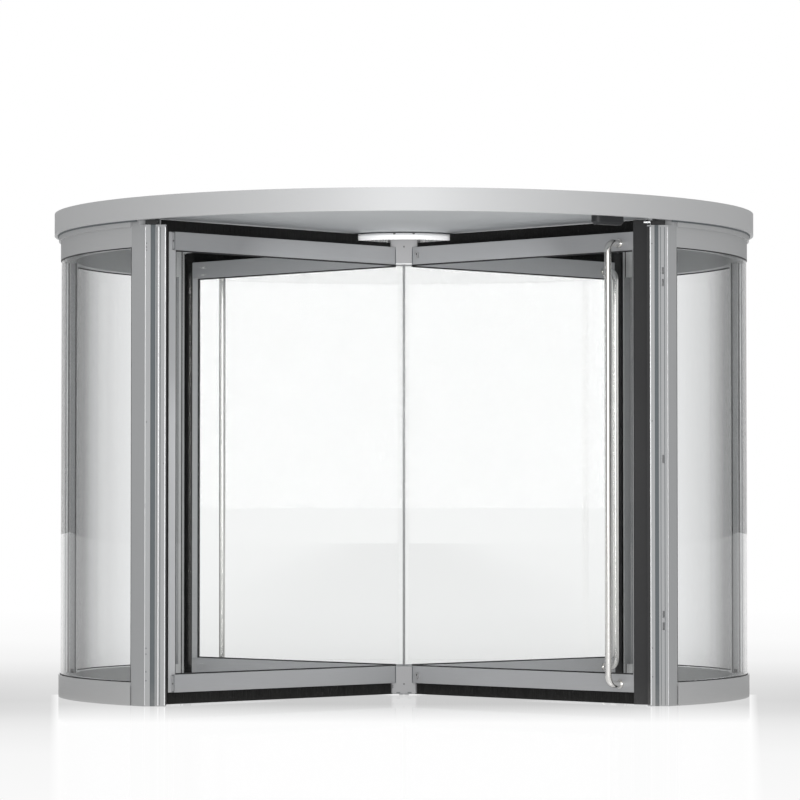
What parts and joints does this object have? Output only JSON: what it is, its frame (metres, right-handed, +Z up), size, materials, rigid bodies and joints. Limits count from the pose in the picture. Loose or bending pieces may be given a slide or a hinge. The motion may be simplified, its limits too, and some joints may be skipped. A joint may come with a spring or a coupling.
{
  "type": "revolving door",
  "caption": "Glazed revolving door: wings with tall tube handles turn in a curved glass drum under a flat round canopy.",
  "frame": {"origin": "on the floor, on the axis that the wings turn about", "axes": "+Z up, -Y the front side that the picture shows, +X to the right as seen from the front"},
  "size_m": [3.196, 3.1956, 2.189],
  "materials": {
    "anodised": "satin anodised, vertical grain",
    "canopy_silver": "satin silver powder coat",
    "ceiling_silver": "satin grey, lightly brushed",
    "roof_sheet": "plain galvanised sheet",
    "steel_frame": "grey primer",
    "bearing_steel": "machined",
    "clear_glass": "clear, polished",
    "gasket": "matt",
    "brush": "dense bristles",
    "edge_rubber": "matt",
    "disc_white": "bright white, satin",
    "handle_steel": "polished stainless tube",
    "lock_steel": "satin",
    "sensor_black": "matt",
    "seal_grey": "satin"
  },
  "bodies": {
    "drum": {"left_top_rail": "anodised", "right_top_rail": "anodised", "left_skirt": "anodised", "right_skirt": "anodised", "left_curved_glass": "clear_glass", "right_curved_glass": "clear_glass", "left_mullion": "anodised", "right_mullion": "anodised", "front_left_post": "anodised", "front_right_post": "anodised", "rear_left_post": "anodised", "rear_right_post": "anodised", "post_gaskets": "gasket", "canopy_fascia": "canopy_silver", "roof_cover": "roof_sheet", "ceiling_panel": "ceiling_silver", "canopy_beams": "steel_frame", "shaft_bearing": "bearing_steel", "motion_sensors": "sensor_black", "floor_bearing": "bearing_steel"},
    "rotor": {"hub_disc": "disc_white", "top_hub_clamp": "anodised", "bottom_hub_clamp": "anodised", "centre_seal": "seal_grey", "lock_cylinders": "lock_steel", "wing_1_rails": "anodised", "wing_1_stile": "anodised", "wing_1_glass": "clear_glass", "wing_1_brushes": "brush", "wing_1_edge_strip": "edge_rubber", "wing_1_handle": "handle_steel", "wing_2_rails": "anodised", "wing_2_stile": "anodised", "wing_2_glass": "clear_glass", "wing_2_brushes": "brush", "wing_2_edge_strip": "edge_rubber", "wing_2_handle": "handle_steel", "wing_3_rails": "anodised", "wing_3_stile": "anodised", "wing_3_glass": "clear_glass", "wing_3_brushes": "brush", "wing_3_edge_strip": "edge_rubber", "wing_3_handle": "handle_steel", "wing_4_rails": "anodised", "wing_4_stile": "anodised", "wing_4_glass": "clear_glass", "wing_4_brushes": "brush", "wing_4_edge_strip": "edge_rubber", "wing_4_handle": "handle_steel"}
  },
  "joints": [
    {"name": "rotor_turn", "type": "hinge", "parent": "drum", "child": "rotor", "pos_m": [0, 0, 0], "axis": [0, 0, 1], "continuous": true}
  ]
}
